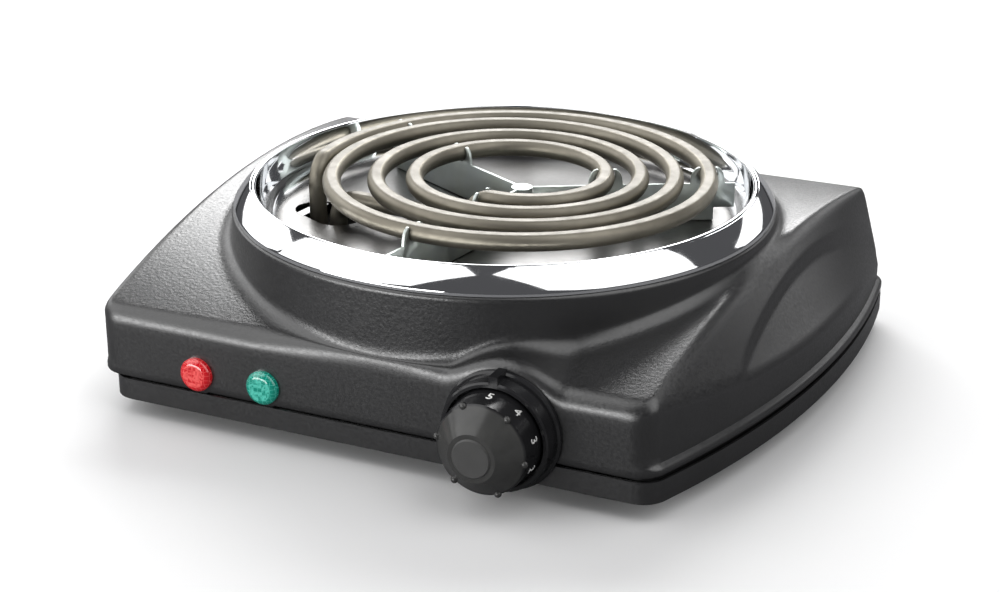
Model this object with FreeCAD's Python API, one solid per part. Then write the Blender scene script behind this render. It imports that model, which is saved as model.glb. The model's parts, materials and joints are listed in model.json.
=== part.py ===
# A single-coil electric hot plate: a pressed steel housing on a base pan, a chrome drip bowl,
# a wound tube heater on a three-armed spider, a dial on the front and two indicator lenses.
# Millimetres. X to the right, Y to the back, Z up. The origin is on the burner's axis, on the table.
import FreeCAD, Part
import math
import os

V = FreeCAD.Vector

# Feet and base pan
foot_height = 7.0
foot_radius = 8.0
foot_stem_radius = 3.0
foot_head_height = 2.0
foot_front_x = 84.0
foot_front_setback = 29.5
foot_back_x = 98.0
foot_back_setback = 25.5
pan_sheet = 1.0
pan_height = 8.0
pan_groove = 1.2
pan_rim_inset = 3.5
stem_clearance = 0.05

# Outline of the housing in plan
half_depth = 105.5
side_reach = 127.0
side_reach_y = 38.0
side_radius = 370.0
left_wing = 14.0
pan_overhang = 2.0
pan_left_inset = 4.0
front_corner_radius = 10.0
back_corner_radius = 13.0

# Housing sheet, crowned top, leaning side facets and neck
sheet = 1.2
bead_height = 3.4
crown_front_z = 41.5
crown_middle_z = 61.0
crown_back_z = 55.0
front_edge_radius = 5.5
facet_top_front_x = 99.0
facet_top_back_x = 113.0
facet_foot_front_z = 42.0
facet_foot_middle_z = 32.5
facet_foot_back_z = 26.5
neck_radius = 103.2
neck_foot_radius = 105.0
neck_top_z = 67.0
neck_hole_radius = 97.0

# Drip bowl
bowl_sheet = 0.8
bowl_rim_radius = 102.5
bowl_lip_radius = 95.0
bowl_lip_z = 76.0
bowl_floor_radius = 81.0
bowl_floor_z = 56.4
bowl_corner_radius = 10.0
rim_edge_height = 1.2
slot_width = 18.0

# Heating coil
tube_radius = 3.4
coil_z = 76.0
coil_lefts = (-73.5, -65.0, -48.0, -33.5)
coil_rights = (77.5, 64.5, 51.5, 38.5)
coil_turn_angle = 6.0
tail_bend_radius = 9.0
inner_bend_radius = 10.0
inner_drop = 10.0
inner_end_radius = 28.3
inner_end_deg = 100.0
inner_run = 42.0
tail_seat_depth = 6.0

# Spider under the coil
arm_sheet = 1.2
arm_reach = 88.0
arm_foot_reach = 80.0
arm_end_rise = 5.0
arm_strip_width = 7.0
arm_web_top = 72.2
arm_angles = (28.4, 151.0, 262.0)
arm_strip_sides = (1, -1, -1)
hub_x = 7.0
hook_width = 3.6
hook_drop = 0.8
hook_clearance = 0.25
bowl_seat_gap = 0.3
hub_radius = 4.0

# Coil hinge below the bowl
block_length = 32.0
block_width = 24.0
block_height = 15.0
block_top_z = 51.0
hinge_pin_radius = 2.0
hinge_pin_z = 40.0
hinge_clearance = 0.05
ear_width = 16.0
ear_sheet = 1.5
ear_gap = 0.4

# Dial, bezel and regulator
dial_x = 48.0
dial_z = 25.0
boss_radius = 24.5
boss_depth = 34.0
bezel_flange_radius = 21.6
bezel_flange_depth = 2.2
bezel_radius = 19.8
bezel_depth = 8.0
bezel_recess_radius = 18.2
bezel_plate = 1.5
pointer_width = 3.2
pointer_height = 2.4
knob_skirt_radius = 17.4
knob_rim_radius = 16.0
knob_gap = 1.5
knob_length = 12.0
knob_nose = 7.0
knob_ring_radius = 8.6
knob_cap_radius = 7.0
knob_cap_depth = 2.2
knob_cap_stand = 0.6
knob_hollow_radius = 13.5
knob_hollow_depth = 6.0
knob_bump_radius = 1.3
knob_bumps = 6
knob_bump_turn = -7.0
shaft_radius = 3.0
shaft_clearance = 0.05
shaft_depth_in_regulator = 16.0
bush_radius = 5.0
bush_clearance = 0.1
nut_across = 14.0
nut_depth = 3.0
regulator_width = 32.0
regulator_height = 22.0
regulator_depth = 28.0
regulator_plate = 1.2

# Indicator lenses
lens_radius = 6.25
lens_rise = 3.2
lens_stem_radius = 4.8
lens_stem_length = 9.0
lens_clearance = 0.05
lens_z = 22.7
red_lens_x = -72.8
green_lens_x = -45.3
lamp_radius = 2.4
lamp_length = 12.0
retainer_radius = 8.0
retainer_depth = 1.0

# Inside
shield_radius = 48.0
shield_z = 22.0
shield_sheet = 0.8
shield_leg_radius = 3.0
shield_leg_circle = 40.0
terminal_length = 30.0
terminal_width = 16.0
terminal_height = 14.0
terminal_x = 20.0
terminal_y = 68.0
inlet_x = 62.0
inlet_z = 34.0
inlet_flange_radius = 9.0
inlet_flange_depth = 3.0
inlet_body_radius = 6.5
inlet_bore_radius = 3.6
inlet_length = 14.0
lead_radius = 1.4
lead_bend = 9.0
tab_width = 16.0
tab_leg = 16.0
tab_height = 14.0
tab_sheet = 1.2
tab_front_x = 20.0
tab_back_x = 90.0
screw_radius = 1.9
screw_head_radius = 3.6
screw_head_height = 2.2
screw_length = 9.0
screw_clearance = 0.1

# Levels that follow from the sizes
pan_bottom_z = foot_height
pan_floor_z = pan_bottom_z + pan_sheet
pan_lip_z = pan_bottom_z + pan_height
shell_bottom_z = pan_lip_z + pan_groove
bead_top_z = shell_bottom_z + bead_height
front_y = -half_depth
back_y = half_depth
bowl_floor_top_z = bowl_floor_z + bowl_sheet
arm_bottom_z = bowl_floor_top_z + bowl_seat_gap
tail_end_z = block_top_z - tail_seat_depth


# Helpers
def side_x(y, inset):
    """Half width of the outline at one depth."""
    return side_reach - inset - (y - side_reach_y) ** 2 / (2.0 * side_radius)


def plan_face(inset, overhang):
    """The outline in plan, with a straight front and back and bowed sides. The front and left have no overhang."""
    front = front_y + inset
    back = back_y - inset + overhang
    side = inset - overhang
    right = [V(side_x(front, side), front, 0), V(side_x(side_reach_y, side), side_reach_y, 0),
             V(side_x(back, side), back, 0)]
    left_side = inset + (pan_left_inset if overhang else 0.0)
    left = [V(-side_x(p.y, left_side) - left_wing, p.y, 0) for p in reversed(right)]
    edges = [Part.Arc(*right).toShape(), Part.LineSegment(right[2], left[0]).toShape(),
             Part.Arc(*left).toShape(), Part.LineSegment(left[2], right[0]).toShape()]
    return Part.Face(Part.Wire(edges))


def prism(inset, low, high, overhang=0.0):
    """The outline raised from one level to another, with its upright corners rounded."""
    body = plan_face(inset, overhang).extrude(V(0, 0, high - low))
    body.translate(V(0, 0, low))
    for sign, radius in ((-1, front_corner_radius), (1, back_corner_radius)):
        corners = [e for e in body.Edges if abs(e.tangentAt(e.FirstParameter).z) > 0.9
                   and e.CenterOfMass.y * sign > 0]
        body = body.makeFillet(max(radius - inset, 1.0), corners)
    return body


def disc(radius, low, high, x=0.0, y=0.0):
    return Part.makeCylinder(radius, high - low, V(x, y, low))


def rod_y(radius, start, end, x, z):
    """A round bar along Y, towards the front."""
    return Part.makeCylinder(radius, abs(end - start), V(x, max(start, end), z), V(0, -1, 0))


def block(x0, x1, y0, y1, z0, z1):
    return Part.makeBox(x1 - x0, y1 - y0, z1 - z0, V(x0, y0, z0))


def turned(points):
    """A solid of revolution about Z from points of radius and height, where three in a tuple are an arc."""
    edges = []
    here = V(points[0][0], 0, points[0][1])
    for item in points[1:] + points[:1]:
        if isinstance(item[0], tuple):
            middle = V(item[0][0], 0, item[0][1])
            end = V(item[1][0], 0, item[1][1])
            edges.append(Part.Arc(here, middle, end).toShape())
        else:
            end = V(item[0], 0, item[1])
            edges.append(Part.LineSegment(here, end).toShape())
        here = end
    return Part.Face(Part.Wire(edges)).revolve(V(0, 0, 0), V(0, 0, 1), 360)


def turned_front(points, x, z):
    """The same about the dial's direction: each height is a distance in front of the housing."""
    body = turned(points)
    body.rotate(V(0, 0, 0), V(1, 0, 0), 90)
    body.translate(V(x, front_y, z))
    return body


def turn_with_coil(shape):
    """Turns a shape made along the coil's own diameter to where the coil's legs are."""
    shape.rotate(V(0, 0, 0), V(0, 0, 1), coil_turn_angle)
    return shape


def solid_of(shape):
    return shape.removeSplitter() if len(shape.Solids) == 1 else shape


# Housing
def crowned_slab(inset):
    """The body between its bottom and the crowned top, with a rounded front edge."""
    front = V(0, front_y + inset, crown_front_z - inset)
    middle = V(0, 0, crown_middle_z - inset)
    back = V(0, back_y - inset, crown_back_z - inset)
    foot_front = V(0, front.y, shell_bottom_z)
    foot_back = V(0, back.y, shell_bottom_z)
    edges = [Part.LineSegment(foot_front, front).toShape(), Part.Arc(front, middle, back).toShape(),
             Part.LineSegment(back, foot_back).toShape(), Part.LineSegment(foot_back, foot_front).toShape()]
    reach = side_reach + left_wing
    slab = Part.Face(Part.Wire(edges)).extrude(V(2 * reach, 0, 0))
    slab.translate(V(-reach, 0, 0))
    tops = [e for e in slab.Edges if e.CenterOfMass.z > shell_bottom_z + bead_height
            and abs(e.tangentAt(e.FirstParameter).x) > 0.9]
    return slab.makeFillet(front_edge_radius - inset, tops)


def facet_cutter(inset):
    """What lies outside the right leaning facet, lofted through sections along the depth."""
    stations = (-1.0, -0.55, 0.0, 0.5, 1.0)
    far_x = 2 * side_reach
    far_z = 2 * bowl_lip_z
    wires = []
    for share in stations:
        y = share * (half_depth + front_edge_radius)
        top_x = facet_top_front_x + (facet_top_back_x - facet_top_front_x) * (share + 1) / 2 - inset
        top_z = crown_z(y)
        foot_x = max(side_x(y, inset), top_x + pan_overhang)
        foot_z = facet_foot_z(share)
        lean = V(foot_x - top_x, 0, foot_z - top_z).normalize()
        start = V(top_x, y, top_z) - lean * front_corner_radius
        end = V(foot_x, y, foot_z) + lean * front_corner_radius
        corners = [start, end, V(far_x, y, end.z), V(far_x, y, far_z), V(start.x, y, far_z)]
        wires.append(Part.makePolygon(corners + corners[:1]))
    return Part.makeLoft(wires, True, False)


def crown_z(y):
    """Height of the crowned top at one depth, on the parabola through its three heights."""
    tilt = (crown_back_z - crown_front_z) / 2 / half_depth
    bow = ((crown_back_z + crown_front_z) / 2 - crown_middle_z) / half_depth ** 2
    return crown_middle_z + tilt * y + bow * y * y


def facet_foot_z(share):
    """Height of the facet's lower crease, from the front corner to the back corner."""
    if share < 0:
        return facet_foot_middle_z + (facet_foot_front_z - facet_foot_middle_z) * share ** 2
    return facet_foot_middle_z + (facet_foot_back_z - facet_foot_middle_z) * share ** 2


def neck(inset):
    top = neck_top_z - inset
    low = shell_bottom_z
    return turned([(0, low), (neck_foot_radius - inset, low), (neck_foot_radius - inset, crown_front_z),
                   (neck_radius - inset, crown_middle_z),
                   (neck_radius - inset, top), (0, top)])


def housing_body(inset):
    """The whole pressed form, solid."""
    slab = crowned_slab(inset).common(prism(inset, shell_bottom_z - sheet, bowl_lip_z))
    cutter = facet_cutter(inset)
    left_cutter = cutter.mirror(V(0, 0, 0), V(1, 0, 0))
    left_cutter.translate(V(-left_wing, 0, 0))
    slab = slab.cut(cutter).cut(left_cutter)
    boss_back = front_y + boss_depth
    boss = rod_y(boss_radius - inset, boss_back, front_y + inset, dial_x, dial_z)
    boss = boss.cut(block(-side_reach, side_reach, front_y, back_y, -boss_radius, shell_bottom_z))
    return slab.fuse(boss).fuse(neck(inset).common(prism(inset, shell_bottom_z - sheet, bowl_lip_z)))


def make_housing():
    shell = housing_body(0.0).cut(housing_body(sheet))
    bead = prism(0, shell_bottom_z, bead_top_z, pan_overhang).cut(prism(sheet, 0, bowl_lip_z))
    shell = shell.fuse(bead)
    shell = shell.cut(disc(neck_hole_radius, shell_bottom_z, bowl_lip_z))
    shell = shell.cut(rod_y(bush_radius + bush_clearance, front_y + boss_depth / 2, front_y - sheet,
                            dial_x, dial_z))
    for x in (red_lens_x, green_lens_x):
        hole = lens_stem_radius + lens_clearance
        shell = shell.cut(rod_y(hole, front_y + boss_depth / 2, front_y - sheet, x, lens_z))
    hole = rod_y(inlet_body_radius, back_y + sheet, back_y - boss_depth / 2, inlet_x, inlet_z)
    return solid_of(shell.cut(hole))


# Base pan
def pan_points():
    wing = left_wing - pan_left_inset
    front = foot_front_setback - half_depth
    back = half_depth - foot_back_setback
    return [(foot_front_x, front), (-foot_front_x - wing, front), (foot_back_x, back), (-foot_back_x - wing, back)]


def tab_points():
    middle = half_depth - sheet - tab_leg / 2
    front = [(sign * tab_front_x, -middle) for sign in (-1, 1)]
    return front + [(sign * tab_back_x, middle) for sign in (-1, 1)]


def make_pan():
    tray = prism(0, pan_bottom_z, pan_lip_z, pan_overhang)
    tray = tray.cut(prism(pan_sheet, pan_floor_z, bowl_lip_z, pan_overhang))
    rim = prism(pan_rim_inset - pan_sheet, pan_floor_z, shell_bottom_z, pan_overhang)
    rim = rim.cut(prism(pan_rim_inset, pan_bottom_z, bowl_lip_z, pan_overhang))
    tray = tray.fuse(rim)
    for x, y in pan_points():
        tray = tray.cut(disc(foot_stem_radius, 0, pan_lip_z, x, y))
    for x, y in tab_points():
        tray = tray.cut(disc(screw_radius + screw_clearance, 0, pan_lip_z, x, y))
    return solid_of(tray)


def make_feet():
    stem = foot_stem_radius - stem_clearance
    head = foot_stem_radius + foot_head_height
    feet = []
    for x, y in pan_points():
        foot = turned([(0, 0), (foot_radius - 1, 0), (foot_radius, 1), (foot_radius, foot_height), (stem, foot_height),
                       (stem, pan_floor_z), (head, pan_floor_z), (stem, pan_floor_z + foot_head_height),
                       (0, pan_floor_z + foot_head_height)])
        foot.translate(V(x, y, 0))
        feet.append(foot)
    return feet


def make_tabs():
    """Angle tabs welded inside the front and back walls, which the base screws pull on."""
    tabs = []
    for x, y in tab_points():
        sign = 1 if y > 0 else -1
        wall = sign * (half_depth - sheet)
        inner = wall - sign * tab_leg
        leg = wall - sign * tab_sheet
        floor = block(x - tab_width / 2, x + tab_width / 2, min(wall, inner), max(wall, inner),
                      pan_floor_z, pan_floor_z + tab_sheet)
        upright = block(x - tab_width / 2, x + tab_width / 2, min(wall, leg), max(wall, leg),
                        pan_floor_z, shell_bottom_z + tab_height)
        rim_gap = pan_rim_inset + pan_groove - (pan_overhang if sign > 0 else 0)
        notch_edge = sign * (half_depth - rim_gap)
        notch = block(x - tab_width, x + tab_width, min(notch_edge, sign * 2 * half_depth),
                      max(notch_edge, sign * 2 * half_depth), 0, shell_bottom_z)
        step = block(x - tab_width / 2, x + tab_width / 2, min(leg, notch_edge - sign * tab_sheet),
                     max(leg, notch_edge - sign * tab_sheet), shell_bottom_z, shell_bottom_z + tab_sheet)
        riser = block(x - tab_width / 2, x + tab_width / 2, min(notch_edge, notch_edge - sign * tab_sheet),
                      max(notch_edge, notch_edge - sign * tab_sheet), pan_floor_z, shell_bottom_z + tab_sheet)
        tab = floor.fuse(upright).cut(notch).fuse(step).fuse(riser)
        tabs.append(solid_of(tab.cut(disc(screw_radius, 0, pan_lip_z, x, y))))
    return tabs


def make_screws():
    screws = []
    for x, y in tab_points():
        head = disc(screw_head_radius, pan_bottom_z - screw_head_height, pan_bottom_z, x, y)
        shank = disc(screw_radius, pan_bottom_z, pan_bottom_z + screw_length, x, y)
        slot = block(x - screw_head_radius, x + screw_head_radius, y - 0.5, y + 0.5, 0,
                     pan_bottom_z - screw_head_height / 2)
        screws.append(head.fuse(shank).cut(slot))
    return screws


# Drip bowl
def make_bowl():
    """A pressed bowl: flat floor, leaning wall and a rolled rim that sits on the neck."""
    t = bowl_sheet
    rim = bowl_rim_radius
    lip = bowl_lip_radius
    top = bowl_lip_z
    floor = bowl_floor_z
    foot = bowl_floor_radius
    corner = bowl_corner_radius
    half = math.sqrt(0.5)
    low = floor + corner
    edge = neck_top_z + rim_edge_height
    waist = (lip + rim) / 2
    bowl = turned([(0, floor), (foot, floor), ((foot + corner * half, low - corner * half), (foot + corner, low)),
                   (lip, top - 3 * t), (lip + t, top - 2 * t),
                   ((waist - 0.2, (top + edge) / 2 - t), (rim - t, neck_top_z)),
                   (rim, neck_top_z), (rim, edge), ((waist + t, (top + edge) / 2 + t), (lip + t, top - t / 4)),
                   ((lip, top), (lip - t, top - t)), (foot + corner - t, low),
                   ((foot + (corner - t) * half, low - (corner - t) * half), (foot, floor + t)), (0, floor + t)])
    near, far = legs()
    across = (far - near).normalize()
    side = V(-across.y, across.x, 0) * (slot_width / 2)
    hole = Part.Face(Part.makePolygon([near + side, far + side, far - side, near - side, near + side]))
    hole = hole.extrude(V(0, 0, 3 * t))
    hole.translate(V(0, 0, floor - t))
    for leg in (near, far):
        hole = hole.fuse(disc(slot_width / 2, floor - t, floor + 2 * t, leg.x, leg.y))
    return bowl.cut(turn_with_coil(hole))


# Heating coil
def legs():
    """Where the coil's outer and inner legs stand, along the coil's own diameter."""
    path = coil_path()
    return V(path[1].x, path[1].y, 0), V(path[2].x, path[2].y, 0)


def half_turns():
    """Centre, radius and starting side of each half turn, from the outside in."""
    arcs = []
    for i, (left, right) in enumerate(zip(coil_lefts, coil_rights)):
        arcs.append(((left + right) / 2, (right - left) / 2, 1))
        if i + 1 < len(coil_lefts):
            left = coil_lefts[i + 1]
            arcs.append(((left + right) / 2, (right - left) / 2, -1))
    arcs.append((right - inner_end_radius, inner_end_radius, -1))
    return arcs


def coil_path():
    """Edges of the tube's centre line: outer leg, spiral, and the inner end led back under the turns."""
    start = coil_lefts[0]
    bend = tail_bend_radius
    part = bend * (1 - math.sqrt(0.5))
    points = [V(start, -bend, tail_end_z), V(start, -bend, coil_z - bend)]
    edges = [Part.LineSegment(*points).toShape()]
    edges.append(Part.Arc(points[1], V(start, part - bend, coil_z - part), V(start, 0, coil_z)).toShape())
    turns = half_turns()
    for centre, radius, way in turns:
        sweep = math.pi if (centre, radius, way) != turns[-1] else math.radians(inner_end_deg)
        for quarter in (0, 1):
            angles = [sweep / 2 * (quarter + share) for share in (0, 0.5, 1)]
            arc = [V(centre - way * radius * math.cos(a), way * radius * math.sin(a), coil_z) for a in angles]
            edges.append(Part.Arc(*arc).toShape())
    end = arc[2]
    heading = V(-math.sin(sweep), -math.cos(sweep), 0)
    dip = math.acos(1 - inner_drop / 2 / inner_bend_radius)
    reach = inner_bend_radius * math.sin(dip)
    half_reach = inner_bend_radius * math.sin(dip / 2)
    half_z = inner_bend_radius * (1 - math.cos(dip / 2))
    knee = end + heading * reach - V(0, 0, inner_drop / 2)
    flat = end + heading * 2 * reach - V(0, 0, inner_drop)
    edges.append(Part.Arc(end, end + heading * half_reach - V(0, 0, half_z), knee).toShape())
    edges.append(Part.Arc(knee, flat - heading * half_reach + V(0, 0, half_z), flat).toShape())
    corner = flat + heading * inner_run
    edges.append(Part.LineSegment(flat, corner).toShape())
    down = corner + heading * bend - V(0, 0, bend)
    edges.append(Part.Arc(corner, corner + heading * (bend - part) - V(0, 0, part), down).toShape())
    foot = V(down.x, down.y, tail_end_z)
    edges.append(Part.LineSegment(down, foot).toShape())
    return edges, V(points[0]), foot


def coil_tube(radius):
    edges, start, foot = coil_path()
    profile = Part.Wire([Part.makeCircle(radius, start, V(0, 0, 1))])
    pipe = Part.BRepOffsetAPI.MakePipeShell(Part.Wire(edges))
    pipe.add(profile)
    pipe.build()
    pipe.makeSolid()
    return turn_with_coil(pipe.shape())


def print_coil_gap():
    """Least gap of the tube to itself, on points along its centre line."""
    points = []
    along = 0.0
    for edge in coil_path()[0]:
        count = max(int(edge.Length / 2), 2)
        step = edge.Length / count
        for i in range(count):
            place = edge.valueAt(edge.getParameterByLength(i * step))
            points.append((along + i * step, place))
        along += edge.Length
    near = 6 * tube_radius
    least = min((p - q).Length for i, (s, p) in enumerate(points) for t, q in points[i + 1:] if t - s > near)
    print("coil length", round(along, 1), "least gap to itself", round(least - 2 * tube_radius, 2))


# Spider
def arm_crossings(local):
    """Distances from the spider's hub at which an arm passes under the turns, from the outside in."""
    ux = math.cos(local)
    uy = math.sin(local)
    found = []
    for centre, radius, way in half_turns():
        if uy * way > 0:
            off = hub_x - centre
            found.append(math.sqrt(radius ** 2 - (uy * off) ** 2) - ux * off)
    return found


def arm_length(local, reach):
    """How far an arm runs from the hub before it is at a given distance from the burner's axis."""
    return math.sqrt(reach ** 2 - (hub_x * math.sin(local)) ** 2) - hub_x * math.cos(local)


def make_arm(angle, side, groove):
    """A folded sheet arm: an upright web with a foot strip, and hooks about the outer and inner turns."""
    half = arm_sheet / 2
    local = math.radians(angle - coil_turn_angle)
    gap = hub_radius + hook_clearance
    end = arm_length(local, arm_reach)
    foot_end = arm_length(local, arm_foot_reach)
    strip = sorted((-side * half, side * arm_strip_width))
    arm = block(gap, foot_end, strip[0], strip[1], arm_bottom_z, arm_bottom_z + arm_sheet)
    arm = arm.fuse(block(gap, foot_end, -half, half, arm_bottom_z, arm_web_top))
    arm = arm.fuse(block(gap, end, -half, half, arm_bottom_z + arm_end_rise, arm_web_top))
    top = coil_z + tube_radius - hook_drop
    crossings = arm_crossings(local)
    for r in (crossings[0], crossings[-1]):
        reach = tube_radius + hook_clearance + hook_width
        arm = arm.fuse(block(r - reach, r + reach, -half, half, arm_bottom_z + arm_end_rise, top))
    arm.rotate(V(0, 0, 0), V(0, 0, 1), math.degrees(local))
    arm = arm.common(sector(math.degrees(local)))
    arm.translate(V(hub_x, 0, 0))
    arm = turn_with_coil(arm).cut(groove)
    return max(arm.Solids, key=lambda s: s.Volume)


def sector(angle):
    """A third of the space about the burner's axis, so that the arms meet without overlapping."""
    far = 2 * arm_reach
    spread = math.radians(60)
    corners = [V(0, 0, 0), V(far * math.cos(spread), far * math.sin(spread), 0),
               V(far * math.cos(spread), -far * math.sin(spread), 0), V(0, 0, 0)]
    wedge = Part.Face(Part.makePolygon(corners)).extrude(V(0, 0, 2 * bowl_lip_z))
    wedge.rotate(V(0, 0, 0), V(0, 0, 1), angle)
    return wedge


def make_hub():
    """The pillar that joins the three arms: it fills the space between their ends up to the coil."""
    hub = disc(hub_radius, arm_bottom_z, arm_web_top, hub_x)
    return turn_with_coil(hub)


# Coil hinge
def hinge_place():
    """Middle of the two legs, where the block and its hinge are."""
    near, far = legs()
    return (near + far) * 0.5


def make_block():
    z0 = block_top_z - block_height
    middle = hinge_place()
    body = block(-block_width / 2, block_width / 2, -block_length / 2, block_length / 2, z0, block_top_z)
    bore = hinge_pin_radius + hinge_clearance
    body = body.cut(Part.makeCylinder(bore, 2 * block_length, V(0, -block_length, hinge_pin_z), V(0, 1, 0)))
    body.translate(middle)
    for leg in legs():
        body = body.cut(disc(tube_radius, tail_end_z, bowl_lip_z, leg.x, leg.y))
    return turn_with_coil(body)


def make_stand():
    inner = block_length / 2 + ear_gap
    outer = inner + ear_sheet
    half = ear_width / 2
    stand = block(-half, half, -outer, outer, pan_floor_z, pan_floor_z + ear_sheet)
    for y0, y1 in ((-outer, -inner), (inner, outer)):
        stand = stand.fuse(block(-half, half, y0, y1, pan_floor_z, hinge_pin_z + half / 2))
    stand = stand.cut(Part.makeCylinder(hinge_pin_radius, 2 * outer, V(0, -outer, hinge_pin_z), V(0, 1, 0)))
    stand.translate(hinge_place())
    return turn_with_coil(solid_of(stand))


def make_pin():
    reach = block_length / 2 + ear_gap + ear_sheet
    pin = Part.makeCylinder(hinge_pin_radius, 2 * reach, V(0, -reach, hinge_pin_z), V(0, 1, 0))
    pin.translate(hinge_place())
    return turn_with_coil(pin)


# Dial and regulator
def make_bezel():
    body = turned_front([(bush_radius + bush_clearance, 0), (bezel_flange_radius, 0),
                         (bezel_flange_radius, bezel_flange_depth - 0.7),
                         (bezel_flange_radius - 0.7, bezel_flange_depth), (bezel_radius + 0.4, bezel_flange_depth),
                         (bezel_radius, bezel_depth - 0.6), (bezel_radius - 0.6, bezel_depth),
                         (bezel_recess_radius, bezel_depth), (bezel_recess_radius, bezel_plate),
                         (bush_radius + bush_clearance, bezel_plate)], dial_x, dial_z)
    rib = block(dial_x - pointer_width / 2, dial_x + pointer_width / 2, front_y - bezel_depth, front_y,
                dial_z + bezel_recess_radius + 0.3, dial_z + bezel_radius + pointer_height)
    return solid_of(body.fuse(rib))


def make_regulator():
    """The heat regulator: a mounting plate behind the wall, a case, and a threaded bush for the shaft."""
    wall = front_y + sheet
    x0 = dial_x - regulator_width / 2
    z0 = shell_bottom_z + pan_groove
    case = block(x0, x0 + regulator_width, wall, wall + regulator_depth, z0, z0 + regulator_height)
    case = case.fuse(rod_y(bush_radius, wall + regulator_plate, front_y - bezel_plate - nut_depth, dial_x, dial_z))
    bore = rod_y(shaft_radius + shaft_clearance, wall + shaft_depth_in_regulator, front_y - bezel_depth,
                 dial_x, dial_z)
    return solid_of(case.cut(bore))


def make_nut():
    back = front_y - bezel_plate
    corners = []
    for i in range(7):
        a = math.radians(60 * i)
        reach = nut_across / 2 / math.cos(math.radians(30))
        corners.append(V(dial_x + reach * math.cos(a), back, dial_z + reach * math.sin(a)))
    nut = Part.Face(Part.makePolygon(corners)).extrude(V(0, -nut_depth, 0))
    return nut.cut(rod_y(bush_radius, back + 1, back - 2 * nut_depth, dial_x, dial_z))


def knob_back():
    return bezel_plate + nut_depth + knob_gap


def make_shaft():
    back = front_y + sheet + shaft_depth_in_regulator - knob_gap
    front = front_y - knob_back() - knob_length
    return rod_y(shaft_radius, back, front, dial_x, dial_z)


def make_knob():
    back = knob_back()
    rim = back + knob_length
    nose = rim + knob_nose
    seat = nose - knob_cap_depth
    hollow = back + knob_hollow_depth
    body = turned_front([(shaft_radius, back + knob_gap), (shaft_radius + 2.5, back + knob_gap),
                         (shaft_radius + 2.5, hollow), (knob_hollow_radius, hollow), (knob_hollow_radius, back),
                         (knob_skirt_radius, back), (knob_rim_radius + 0.3, rim - 0.6),
                         (knob_rim_radius - 0.4, rim), (knob_ring_radius + 0.6, nose - 0.6),
                         (knob_ring_radius, nose), (knob_cap_radius, nose), (knob_cap_radius, seat),
                         (0, seat), (0, rim), (shaft_radius, rim)], dial_x, dial_z)
    for i in range(knob_bumps):
        a = math.radians(360 / knob_bumps * i + knob_bump_turn)
        place = V(dial_x + knob_rim_radius * math.cos(a), front_y - rim + 0.4,
                  dial_z + knob_rim_radius * math.sin(a))
        body = body.fuse(Part.makeSphere(knob_bump_radius, place))
    return solid_of(body)


def make_knob_cap():
    rim = knob_back() + knob_length + knob_nose
    top = rim + knob_cap_stand
    return turned_front([(0, rim - knob_cap_depth), (knob_cap_radius, rim - knob_cap_depth),
                         (knob_cap_radius, top - 0.5), (knob_cap_radius - 0.5, top), (0, top)], dial_x, dial_z)


# Indicator lenses and their lamps
def make_lens(x):
    stem_end = -(sheet + lens_stem_length)
    stem = lens_stem_radius
    bore = lamp_radius + lens_clearance
    return turned_front([(stem, stem_end), (stem, 0), (lens_radius, 0), (lens_radius, lens_rise * 0.45),
                         ((lens_radius * 0.86, lens_rise * 0.8), (lens_radius * 0.62, lens_rise)),
                         (0, lens_rise), (0, 0), (bore, 0), (bore, stem_end)], x, lens_z)


def make_lamps():
    lamps = []
    for x in (red_lens_x, green_lens_x):
        lamps.append(turned_front([(0, -lamp_length), (lamp_radius, -lamp_length), (lamp_radius, -lamp_radius),
                                   (lamp_radius / 2, -lens_clearance), (0, -lens_clearance)], x, lens_z))
    return lamps


def make_retainers():
    rings = []
    for x in (red_lens_x, green_lens_x):
        wall = -sheet
        rings.append(turned_front([(lens_stem_radius, wall - retainer_depth), (retainer_radius, wall - retainer_depth),
                                   (retainer_radius, wall), (lens_stem_radius, wall)], x, lens_z))
    return rings


# Shield, terminals, inlet and leads
def make_shield():
    plate = disc(shield_radius, shield_z, shield_z + shield_sheet)
    for i in range(3):
        a = math.radians(120 * i + 90)
        x = shield_leg_circle * math.cos(a)
        y = shield_leg_circle * math.sin(a)
        plate = plate.fuse(disc(shield_leg_radius, pan_floor_z, shield_z, x, y))
    return solid_of(plate)


def make_terminals():
    """A ceramic block on the pan with three wells and a brass screw sunk in each."""
    x0 = terminal_x - terminal_length / 2
    body = block(x0, x0 + terminal_length, terminal_y, terminal_y + terminal_width, pan_floor_z,
                 pan_floor_z + terminal_height)
    screws = []
    for i in range(3):
        x = x0 + terminal_length * (i + 0.5) / 3
        y = terminal_y + terminal_width / 2
        top = pan_floor_z + terminal_height
        body = body.cut(disc(screw_head_radius, top - screw_head_height, top, x, y))
        screw = disc(screw_head_radius - screw_clearance, top - screw_head_height, top - 0.4, x, y)
        slot = block(x - screw_head_radius, x + screw_head_radius, y - 0.5, y + 0.5, top - 1.2, top)
        screws.append(screw.cut(slot))
    return body, screws


def make_inlet():
    """The bush in the back wall that a mains lead would pass through."""
    b = inlet_bore_radius
    bush = turned([(b, -inlet_length), (inlet_body_radius, -inlet_length), (inlet_body_radius, 0),
                   (inlet_flange_radius, 0), (inlet_flange_radius - 1, inlet_flange_depth), (b + 1, inlet_flange_depth),
                   (b, inlet_flange_depth - 1)])
    bush.rotate(V(0, 0, 0), V(1, 0, 0), -90)
    bush.translate(V(inlet_x, back_y, inlet_z))
    return bush


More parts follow.
